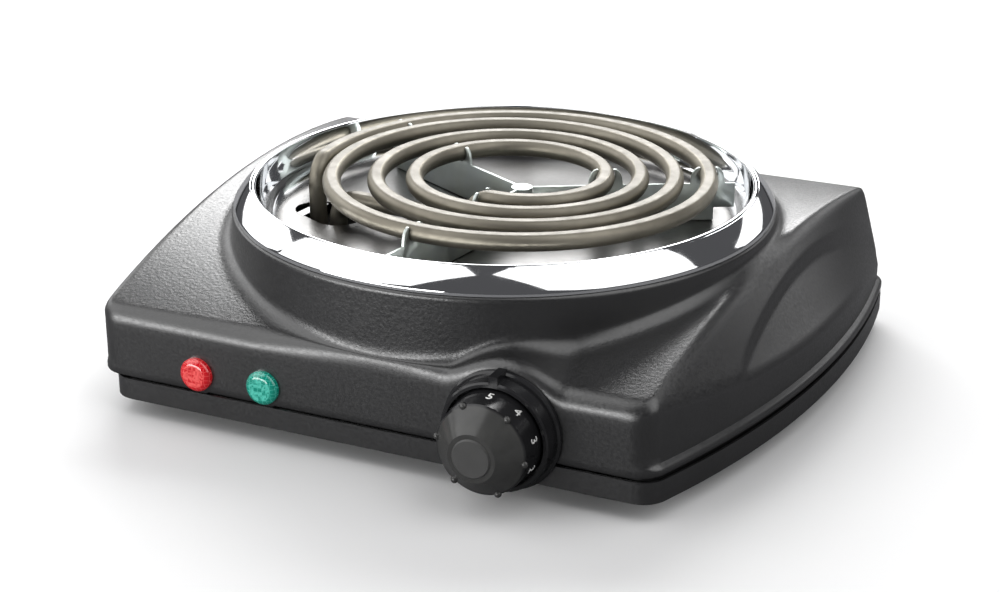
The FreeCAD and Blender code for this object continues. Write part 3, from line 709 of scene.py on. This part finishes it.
profile = [(r, FLOOR_Z) for r in FLOOR_RINGS]
profile += through(*BOWL_CORNER, CORNER_ROWS)
profile += BOWL_WALL
profile += through(*BOWL_LIP, LIP_ROWS)
profile += BOWL_GROOVE
profile += through(*BOWL_RIM, RIM_ROWS)
profile += BOWL_EDGE
columns = []
for a in spread(0, 2 * math.pi, BOWL_STEPS):
    columns.append([(r * math.cos(a), r * math.sin(a), z) for r, z in profile])
bowl_mesh = grid_mesh("drip_bowl_pressing", columns)
bowl = add_piece("drip_bowl_pressing", bowl_mesh, "housing", "bowl_chrome", "drip_bowl")
work = bmesh.new()
work.from_mesh(bowl_mesh)
bmesh.ops.remove_doubles(work, verts=work.verts, dist=WELD)
work.to_mesh(bowl_mesh)
work.free()
gauge = bowl.modifiers.new("gauge", "SOLIDIFY")
gauge.thickness = BOWL_SHEET * MM
gauge.offset = -1
print("bowl profile points", len(profile))

# %% [markdown]
# The coil's legs go down through a slot in the bowl's floor, with round ends. A punch of that shape is
# taken out of the sheet with a Boolean modifier. The result is kept as the bowl's mesh, so that no punch
# is left in the scene.

# %% the slot for the legs
SLOT_HALF = 9.0
SLOT_ENDS = ((COIL_LEFTS[0], -LEG_BEND), (-62.0, -16.0))
SLOT_STEPS = 20
PUNCH_LOW = 54.0
PUNCH_HIGH = 60.0
BOWL_CREASE = math.radians(40)
outer_end, inner_end = [coil_turn @ Vector((x, y, 0)) for x, y in SLOT_ENDS]
way = math.atan2(inner_end.y - outer_end.y, inner_end.x - outer_end.x)
slot_edge = arc(outer_end, SLOT_HALF, way + math.pi / 2, way + 3 * math.pi / 2, SLOT_STEPS)
slot_edge += arc(inner_end, SLOT_HALF, way - math.pi / 2, way + math.pi / 2, SLOT_STEPS)
punch_mesh = grid_mesh("punch", [[(x, y, PUNCH_LOW), (x, y, PUNCH_HIGH)] for x, y in slot_edge])
work = bmesh.new()
work.from_mesh(punch_mesh)
bmesh.ops.holes_fill(work, edges=work.edges)
bmesh.ops.recalc_face_normals(work, faces=work.faces)
work.to_mesh(punch_mesh)
work.free()
punch = bpy.data.objects.new("punch", punch_mesh)
scene.collection.objects.link(punch)
hole = bowl.modifiers.new("hole", "BOOLEAN")
hole.object = punch
bowl_mesh = bpy.data.meshes.new_from_object(bowl.evaluated_get(bpy.context.evaluated_depsgraph_get()))
bowl.modifiers.clear()
bowl.data = bowl_mesh
bpy.data.objects.remove(punch)
bowl_mesh.polygons.foreach_set("use_smooth", [True] * len(bowl_mesh.polygons))
bowl_mesh.set_sharp_from_angle(angle=BOWL_CREASE)
print("bowl faces", len(bowl_mesh.polygons))

# %% [markdown]
# Three arms run out from a hub under the coil, and each holds the innermost and the outermost turn that
# it crosses. The crossings could be read off in the viewport, but they follow from the coil's half turns:
# an arm is a straight line, a half turn is part of a circle, and the two meet at one distance from the
# hub. The same sum says where the foot strip and the arm end, and no arm is longer than its reach.

# %% where the arms meet the coil
HUB_X = 7.0
FOOT_REACH = 80.0
ARM_REACH = 88.0
BACK_INNER = (COIL_LEFTS[-1], COIL_RIGHTS[-1])
BACK_OUTER = (COIL_LEFTS[0], COIL_RIGHTS[0])
FRONT_INNER = (COIL_RIGHTS[-1] - 2 * INNER_RADIUS, COIL_RIGHTS[-1])
FRONT_OUTER = (COIL_LEFTS[1], COIL_RIGHTS[0])
# Each arm: name, direction, the two turns that it holds, and the side of the web that its strip is on.
ARMS = (
    ("right", math.radians(28.4), BACK_INNER, BACK_OUTER, 1),
    ("left", math.radians(151.0), BACK_INNER, BACK_OUTER, -1),
    ("front", math.radians(262.0), FRONT_INNER, FRONT_OUTER, -1),
)


def crossing(angle, left, right):
    """How far from the hub an arm at this angle meets the circle between two ends."""
    angle -= COIL_ANGLE
    offset = HUB_X - (left + right) / 2
    radius = (right - left) / 2
    return math.sqrt(radius ** 2 - (math.sin(angle) * offset) ** 2) - math.cos(angle) * offset


for name, angle, *turns, _ in ARMS:
    held = [round(crossing(angle, *turn), 2) for turn in turns]
    print(name, "arm holds turns at", held)

# %% [markdown]
# The arms are cut from sheet and folded: an upright web, a foot strip that lies on the bowl, and pairs of
# slim horns round each turn that they hold. Each web is one flat outline given the thickness of the
# sheet. A Bevel modifier breaks its edges a little, because pressed sheet has no sharp corners.

# %% the spider's arms
hub_low, hub_high = box_of("spider_hub")
ARM_LOW = hub_low[2]
ARM_HIGH = hub_high[2]
ARM_END_LOW = 62.5
ARM_SHEET = 1.2
HUB_GAP = 4.3
STRIP = 7.0
STRIP_START = 12.0
CRADLE = 3.65
CRADLE_START = math.radians(41)
CRADLE_END = math.radians(-221)
CRADLE_STEPS = 24
# Distance from the middle of the tube and height, up the outside of a horn to its tip.
HORN = ((6.6, ARM_HIGH), (6.4, 74.4), (5.9, 76.4), (5.0, 77.8), (3.9, 78.5), (3.1, 78.6))
BROKEN_EDGE = 0.2
BROKEN_STEPS = 2


def web_outline(inner, outer, foot_end, end):
    """Distance from the hub and height round an arm's web."""
    edge = [(HUB_GAP, ARM_LOW), (foot_end, ARM_LOW), (foot_end, ARM_END_LOW)]
    edge += [(end, ARM_END_LOW), (end, ARM_HIGH)]
    for r in (outer, inner):
        edge += [(r + u, z) for u, z in HORN]
        for a in steps(CRADLE_START, CRADLE_END, CRADLE_STEPS):
            edge.append((r + CRADLE * math.cos(a), COIL_Z + CRADLE * math.sin(a)))
        edge += [(r - u, z) for u, z in reversed(HORN)]
    return edge + [(HUB_GAP, ARM_HIGH)]


def arm_mesh(name, angle, inner_turn, outer_turn, side):
    """The web and the foot strip of one arm, the strip on one side of the web."""
    hub = coil_turn @ Vector((HUB_X, 0, 0))
    way = Vector((math.cos(angle), math.sin(angle), 0))
    across = UP.cross(way)
    half = 0.5 * ARM_SHEET
    foot_end = crossing(angle, -FOOT_REACH, FOOT_REACH)
    end = min(crossing(angle, -ARM_REACH, ARM_REACH), ARM_REACH)
    edge = web_outline(crossing(angle, *inner_turn), crossing(angle, *outer_turn), foot_end, end)
    web = [hub + way * r - across * half + UP * z for r, z in edge]
    foot = ((STRIP_START, half), (foot_end, half), (foot_end, STRIP), (STRIP_START, STRIP))
    strip = [hub + way * r + across * side * t + UP * ARM_LOW for r, t in foot]
    work = bmesh.new()
    for flat, push in ((web, across * ARM_SHEET), (strip, UP * ARM_SHEET)):
        face = work.faces.new([work.verts.new(p * MM) for p in flat])
        grown = bmesh.ops.extrude_face_region(work, geom=[face])["geom"]
        moved = [item for item in grown if isinstance(item, bmesh.types.BMVert)]
        bmesh.ops.translate(work, verts=moved, vec=push * MM)
    bmesh.ops.recalc_face_normals(work, faces=work.faces)
    mesh = bpy.data.meshes.new("arm_" + name)
    work.to_mesh(mesh)
    work.free()
    return mesh


arms = []
for name, *measures in ARMS:
    mesh = arm_mesh(name, *measures)
    arm = add_piece("arm_" + name + "_pressing", mesh, "coil", "spider_zinc", "spider_arm_" + name)
    broken = arm.modifiers.new("broken edges", "BEVEL")
    broken.width = BROKEN_EDGE * MM
    broken.segments = BROKEN_STEPS
    arms.append(arm)
print("arms", [arm.name for arm in arms])

# %% [markdown]
# Chrome on the bowl's rim is a mirror that is never quite flat, so slow waves bend what it mirrors. The
# floor inside is given a darker colour and is more satin. One material does both, mixed by height, so
# that the rim runs into the floor without a seam.

# %% chrome on the bowl
CHROME_DARK = (0.79, 0.80, 0.81)
CHROME_LIGHT = (0.82, 0.83, 0.84)
FLOOR_TONE_DARK = (0.11, 0.108, 0.105)
FLOOR_TONE_LIGHT = (0.22, 0.217, 0.213)
RIM_GLOSS = (0.03, 0.07)
FLOOR_GLOSS = (0.28, 0.34)
METAL_CLOUD = (45, 4)
METAL_MIST = (260, 3)
FLOOR_CLOUD = (25, 2)
FLOOR_MIST = (400, 2)
RIPPLE_DETAIL = 2
WALL_TO_FLOOR = (61.5 * MM, 59.5 * MM)


def rippled(name, waves, depth, **constants):
    """A finish with waves of some scale, and of some depth in millimetres."""
    material = finish(name, **constants)
    relief(material, noise(material, waves, RIPPLE_DETAIL), depth * MM)
    return material


chrome = rippled("bowl_chrome", waves=18, depth=0.10, Metallic=1.0)
inside = between(chrome, place_along(chrome, "Z"), *WALL_TO_FLOOR)
mirror = mottle(chrome, METAL_MIST, *RIM_GLOSS)
satin = mottle(chrome, FLOOR_MIST, *FLOOR_GLOSS)
feed(chrome, blend(chrome, inside, mirror, satin), "Roughness")
plated = mottle(chrome, METAL_CLOUD, CHROME_DARK, CHROME_LIGHT)
floor_tone = mottle(chrome, FLOOR_CLOUD, FLOOR_TONE_DARK, FLOOR_TONE_LIGHT)
feed(chrome, blend(chrome, inside, plated, floor_tone), "Base Color")
bowl_mesh.materials.clear()
bowl_mesh.materials.append(chrome)
dress(chrome, "drip_bowl")
print("chrome on", bowl.name)

# %% [markdown]
# The coil's sheath is a nickel alloy that has been hot: warm grey in patches. Its flat top is rubbed by
# pans. It faces the lights squarely and would look too pale, so its colour is darker: painted shade.
# Faces that look straight up are the flat.

# %% the coil's sheath
PATINA_DARK = (0.19, 0.175, 0.142)
PATINA_LIGHT = (0.28, 0.26, 0.213)
PAINTED_SHADE_DARK = (0.13, 0.122, 0.106)
PAINTED_SHADE_LIGHT = (0.18, 0.17, 0.15)
PATINA_CLOUD = (30, 4)
PAINTED_SHADE_CLOUD = (120, 4)
SHEATH_GLOSS = (0.42, 0.54)
ROUND_TO_FLAT = (0.90, 0.97)
sheath = rippled("coil_sheath", waves=300, depth=0.03, Metallic=1.0)
# Painted shade: faces that look straight up, the flat top, get a darker colour because they face the lights
# squarely.
flat_top = between(sheath, looking_along(sheath, "Z"), *ROUND_TO_FLAT)
patina = mottle(sheath, PATINA_CLOUD, PATINA_DARK, PATINA_LIGHT)
painted_flat_shade = mottle(sheath, PAINTED_SHADE_CLOUD, PAINTED_SHADE_DARK, PAINTED_SHADE_LIGHT)
feed(sheath, blend(sheath, flat_top, patina, painted_flat_shade), "Base Color")
feed(sheath, mottle(sheath, METAL_MIST, *SHEATH_GLOSS), "Roughness")
tube_mesh.materials.append(sheath)
dress(sheath, "heating_coil")
print("sheath on", tube_mesh.name)

# %% [markdown]
# The other metals are the same all over. The spider is zinc plate, cool and cloudy, with a faint green of
# passivation. Screws and shafts are brighter zinc, the shield is aluminium, the terminal screws are
# brass, and the steel that only shows through gaps is blackened. They could each have a tree of their
# own, but one function for all keeps them alike.

# %% other metals
def metal(name, colour, gloss, waves, depth, cloud=0.0, tint=None):
    """A bare metal, clouded towards a darker shade or a tint."""
    sheen = rippled(name, waves, depth, Metallic=1.0)
    darker = tint or tuple(c * (1 - cloud) for c in colour)
    feed(sheen, mottle(sheen, METAL_CLOUD, darker, colour), "Base Color")
    feed(sheen, mottle(sheen, METAL_MIST, *gloss), "Roughness")
    return sheen


spider_zinc = metal("spider_zinc", (0.55, 0.60, 0.60), (0.36, 0.50), 120, 0.05, tint=(0.56, 0.60, 0.54))
bright_zinc = metal("bright_zinc", (0.62, 0.63, 0.64), (0.25, 0.40), 200, 0.03, cloud=0.15)
aluminium = metal("shield_aluminium", (0.75, 0.76, 0.77), (0.25, 0.35), 150, 0.04, cloud=0.10)
brass = metal("terminal_brass", (0.72, 0.52, 0.24), (0.25, 0.35), 200, 0.02, cloud=0.15)
blackened_steel = metal("blackened_steel", (0.05, 0.05, 0.052), (0.35, 0.5), 200, 0.02, cloud=0.2)
for arm in arms:
    arm.data.materials.append(spider_zinc)
dress(spider_zinc, "spider_arm_right", "spider_arm_left", "spider_arm_front", "spider_hub")
dress(bright_zinc, "fixing_tabs", "base_screws", "regulator_nut", "dial_shaft")
dress(aluminium, "heat_shield")
dress(brass, "terminal_screws")
dress(blackened_steel, "lens_retainers", "hinge_stand", "hinge_pin")
print("zinc on", len(arms), "arms")

# %% [markdown]
# Mouldings: the bezel is gloss black, the cap in the knob is a softer dark grey, the feet are rubber, and
# the hidden blocks are ceramic and brown phenolic. All are dielectrics with a small drift of colour and
# gloss. The block that holds the coil's legs is dull, and its ceramic is coloured nearly black: painted
# shade, as little light gets down to it through the slot.

# %% mouldings
MOULD_GRAIN = 1800
MOULD_CLOUD = (80, 4)
MOULD_MIST = (500, 2)
GLOSS_DRIFT = 0.08
SHADE_GAIN = 1.25
SHADE_LIFT = 0.004


def moulding(name, colour, roughness, grain, **constants):
    """A moulded finish with grain of some depth in millimetres."""
    body = rippled(name, MOULD_GRAIN, grain, **constants)
    lighter = tuple(min(c * SHADE_GAIN + SHADE_LIFT, 1) for c in colour)
    feed(body, mottle(body, MOULD_CLOUD, colour, lighter), "Base Color")
    feed(body, mottle(body, MOULD_MIST, roughness, roughness + GLOSS_DRIFT), "Roughness")
    return body


gloss_black = moulding("gloss_black_moulding", (0.012, 0.012, 0.013), 0.14, 0.01)
satin_grey = moulding("satin_grey_moulding", (0.050, 0.050, 0.049), 0.40, 0.03)
foot_rubber = moulding("foot_rubber", (0.02, 0.02, 0.02), 0.75, 0.05)
ceramic = moulding("ceramic", (0.82, 0.79, 0.73), 0.45, 0.04)
# Painted shade: the ceramic block under the slot is coloured nearly black, as if little light reached it.
ceramic_in_painted_shade = moulding("ceramic_in_painted_shade", (0.020, 0.019, 0.018), 0.8, 0.04, Specular_IOR_Level=0.08)
phenolic = moulding("brown_phenolic", (0.16, 0.07, 0.035), 0.35, 0.02)
sleeve = moulding("glass_sleeve", (0.78, 0.75, 0.68), 0.8, 0.2)
bush_black = moulding("black_bush", (0.02, 0.02, 0.021), 0.5, 0.04)
dress(gloss_black, "dial_bezel")
dress(satin_grey, "knob_cap")
dress(foot_rubber, "rubber_feet")
dress(ceramic, "terminal_block")
dress(ceramic_in_painted_shade, "coil_clamp_block")
dress(phenolic, "heat_regulator")
dress(sleeve, "lead_inner", "lead_outer")
dress(bush_black, "cord_inlet_bush")
print("mouldings dressed")

# %% [markdown]
# The knob is one moulding in two shades: a gloss black skirt, and a cone in front of it in a softer dark
# grey. How far forward a point is decides which shade it gets, with a change so short that it looks like
# an edge.

# %% the knob
SKIRT_TO_CONE = (-123.1 * MM, -123.6 * MM)
SKIRT_DARK = (0.010, 0.010, 0.011)
SKIRT_LIGHT = (0.016, 0.016, 0.017)
CONE_DARK = (0.040, 0.040, 0.039)
CONE_LIGHT = (0.055, 0.055, 0.053)
CONE_CLOUD = (120, 4)
SKIRT_GLOSS = (0.10, 0.16)
CONE_GLOSS = (0.17, 0.24)
KNOB_GRAIN = 0.01
knob_plastic = rippled("knob_plastic", MOULD_GRAIN, KNOB_GRAIN)
cone = between(knob_plastic, place_along(knob_plastic, "Y"), *SKIRT_TO_CONE)
skirt_black = mottle(knob_plastic, MOULD_CLOUD, SKIRT_DARK, SKIRT_LIGHT)
cone_grey = mottle(knob_plastic, CONE_CLOUD, CONE_DARK, CONE_LIGHT)
feed(knob_plastic, blend(knob_plastic, cone, skirt_black, cone_grey), "Base Color")
skirt_gloss = mottle(knob_plastic, MOULD_MIST, *SKIRT_GLOSS)
cone_gloss = mottle(knob_plastic, MOULD_MIST, *CONE_GLOSS)
feed(knob_plastic, blend(knob_plastic, cone, skirt_gloss, cone_gloss), "Roughness")
dress(knob_plastic, "dial_knob")
print("knob dressed")

# %% [markdown]
# The dial's numbers are printed on the knob's skirt and run round it clockwise. Each one starts as a flat
# text object turned into a mesh, is wrapped round the skirt by turning its width into an angle, and is
# given a film of paint's thickness. A picture of the numbers would need unwrapping and would blur close
# up.

# %% dial numbers
knob_low, knob_high = box_of("dial_knob")
SKIRT_BACK = -HALF_DEPTH - knob_high[1]
SKIRT_RADIUS = (knob_high[0] - knob_low[0]) / 2
SKIRT_LENGTH = 12.0
SKIRT_TAPER = 1.1
NUMBER_AT = 11.6
NUMBER_FIRST = math.radians(2)
NUMBER_STEP = math.radians(37)
NUMBER_SIZE = 5.0
PRINT_LIFT = 0.12
PRINT_FILM = 0.2


def flat_digit(digit):
    """A mesh of one number, flat and centred, in millimetres."""
    letter = bpy.data.curves.new("digit_" + digit, "FONT")
    letter.body = digit
    letter.size = NUMBER_SIZE
    letter.align_x = "CENTER"
    letter.align_y = "CENTER"
    text = bpy.data.objects.new("flat_digit", letter)
    scene.collection.objects.link(text)
    mesh = bpy.data.meshes.new_from_object(text)
    bpy.data.objects.remove(text)
    return mesh


white_print = moulding("white_print", (0.80, 0.80, 0.78), 0.5, 0.02)
for i, digit in enumerate("54321"):
    mesh = flat_digit(digit)
    for vertex in mesh.vertices:
        ahead = NUMBER_AT - vertex.co.y
        radius = SKIRT_RADIUS - SKIRT_TAPER * (ahead - SKIRT_BACK) / SKIRT_LENGTH + PRINT_LIFT
        angle = NUMBER_FIRST + NUMBER_STEP * i + vertex.co.x / radius
        x = DIAL_X + radius * math.sin(angle)
        z = DIAL_Z + radius * math.cos(angle)
        vertex.co = Vector((x, -HALF_DEPTH - ahead, z)) * MM
    number = add_piece("dial_number_" + digit, mesh, "knob", "knob_black")
    film = number.modifiers.new("film", "SOLIDIFY")
    film.thickness = PRINT_FILM * MM
    film.offset = -1
    mesh.materials.clear()
    mesh.materials.append(white_print)
print("dial numbers 5 to 1 at radius", round(SKIRT_RADIUS, 1))

# %% [markdown]
# The indicator lenses are coloured plastic over a lamp. Light goes in, scatters on small prisms behind
# the face and comes out again. Tracing that through clear plastic is slow and noisy, so the body is
# opaque: a pattern of small cells makes the prisms, a clear coat gives the polished face, and a faint
# glow stands for the scattered light.

# %% lenses
CELL_SCALE = 620
CELL_DISORDER = 0.2
CELL_EDGE = (0.01, 0.07)
CELL_DEPTH = 0.25
CELL_STRENGTH = 0.6
LENS_GLOW = 0.35
GLASS_WAVES = (300, 1)
GLASS_DEPTH = 0.01


def lens_plastic(name, deep, bright):
    """Coloured plastic, bright along the edges of its cells and deep within them."""
    body = finish(name, Roughness=0.10, IOR=1.5, Coat_Weight=1.0,
                  Emission_Color=(*deep, 1), Emission_Strength=LENS_GLOW)
    tree = body.node_tree
    place = tree.nodes.new("ShaderNodeTexCoord")
    cells = tree.nodes.new("ShaderNodeTexVoronoi")
    cells.feature = "DISTANCE_TO_EDGE"
    cells.inputs["Scale"].default_value = CELL_SCALE
    cells.inputs["Randomness"].default_value = CELL_DISORDER
    tree.links.new(place.outputs["Object"], cells.inputs["Vector"])
    feed(body, ramp(body, cells.outputs["Distance"], bright, deep, *CELL_EDGE), "Base Color")
    relief(body, cells.outputs["Distance"], CELL_DEPTH * MM, CELL_STRENGTH)
    return body


red_plastic = lens_plastic("red_lens_plastic", (0.50, 0.004, 0.010), (0.82, 0.13, 0.12))
green_plastic = lens_plastic("green_lens_plastic", (0.0, 0.20, 0.145), (0.10, 0.56, 0.45))
lamp_glass = finish("lamp_glass", Base_Color=(0.95, 0.95, 0.93, 1), Roughness=0.05, Transmission_Weight=1.0)
relief(lamp_glass, noise(lamp_glass, *GLASS_WAVES), GLASS_DEPTH * MM)
dress(red_plastic, "red_lens")
dress(green_plastic, "green_lens")
dress(lamp_glass, "indicator_lamps")
print("lenses dressed")

# %% [markdown]
# The stage is a pale floor that runs into a white background. To the camera the floor is pale and glows
# white far away, and to everything else it is dim, because a black object takes its look from what it
# mirrors. A bent backdrop would do the same, but would stand in the way of views from other sides.

# %% floor
FLOOR_SIZE = 8.0
FLOOR_SEEN = (0.82, 0.82, 0.82)
FLOOR_MIRRORED = (0.16, 0.16, 0.165)
NEAR_TO_FAR = (0.5, 1.6)


def for_the_camera(tree, seen, mirrored):
    """A colour that is one thing to the camera and another to everything else."""
    path = tree.nodes.new("ShaderNodeLightPath")
    mix = tree.nodes.new("ShaderNodeMix")
    mix.data_type = "RGBA"
    mix.inputs["A"].default_value = (*mirrored, 1)
    mix.inputs["B"].default_value = (*seen, 1)
    tree.links.new(path.outputs["Is Camera Ray"], mix.inputs["Factor"])
    return mix.outputs["Result"]


bpy.ops.mesh.primitive_plane_add(size=FLOOR_SIZE, location=(0, 0, 0))
floor = bpy.context.object
floor.name = "floor"
pale = finish("pale_floor", Roughness=0.7, Specular_IOR_Level=0.1, Emission_Color=(1, 1, 1, 1))
nodes = pale.node_tree.nodes
feed(pale, for_the_camera(pale.node_tree, FLOOR_SEEN, FLOOR_MIRRORED), "Base Color")
distance = nodes.new("ShaderNodeVectorMath")
distance.operation = "LENGTH"
pale.node_tree.links.new(nodes.new("ShaderNodeTexCoord").outputs["Object"], distance.inputs[0])
far = between(pale, distance.outputs["Value"], *NEAR_TO_FAR)
seen = nodes.new("ShaderNodeLightPath").outputs["Is Camera Ray"]
feed(pale, reckon(pale, "MULTIPLY", far, seen), "Emission Strength")
floor.data.materials.append(pale)
print("floor", FLOOR_SIZE, "m wide")

# %% [markdown]
# The room is dim to the object and white to the camera, and six soft boxes light it. The wide one behind
# gives the sheen on the plate and a small one beside it the back right. Two overhead give the chrome its
# broad whites, one on the left lights the side of the neck, and a low one in front lights the front face
# and the knob. Area lights are used because their shape shows in the chrome.

# %% light
AIM = Vector((0, 0, 0.05))
ROOM_SEEN = (1, 1, 1)
ROOM_MIRRORED = (0.09, 0.09, 0.095)
# Each box: name, place, width and height in metres, and power in watts.
SOFT_BOXES = (
    ("back_box", (-0.42, 1.05, 0.80), (1.1, 0.75), 22),
    ("back_right_box", (0.60, 1.15, 0.42), (0.8, 0.3), 1.2),
    ("top_left_box", (-0.80, -0.55, 1.05), (1.3, 1.7), 11),
    ("top_right_box", (0.95, -0.10, 1.05), (1.3, 1.9), 12),
    ("left_box", (-1.35, 0.35, 0.55), (1.1, 0.7), 5),
    ("front_box", (-0.60, -1.3, 0.22), (1.4, 0.4), 13),
)
for name, place, (width, height), power in SOFT_BOXES:
    light = bpy.data.lights.new(name, "AREA")
    light.shape = "RECTANGLE"
    light.size = width
    light.size_y = height
    light.energy = power
    lamp = bpy.data.objects.new(name, light)
    scene.collection.objects.link(lamp)
    lamp.location = place
    lamp.rotation_euler = (AIM - Vector(place)).to_track_quat("-Z", "Y").to_euler()
world = bpy.data.worlds.new("studio")
scene.world = world
world.use_nodes = True
room_colour = for_the_camera(world.node_tree, ROOM_SEEN, ROOM_MIRRORED)
world.node_tree.links.new(room_colour, world.node_tree.nodes["Background"].inputs["Color"])
print("lights", len(SOFT_BOXES))
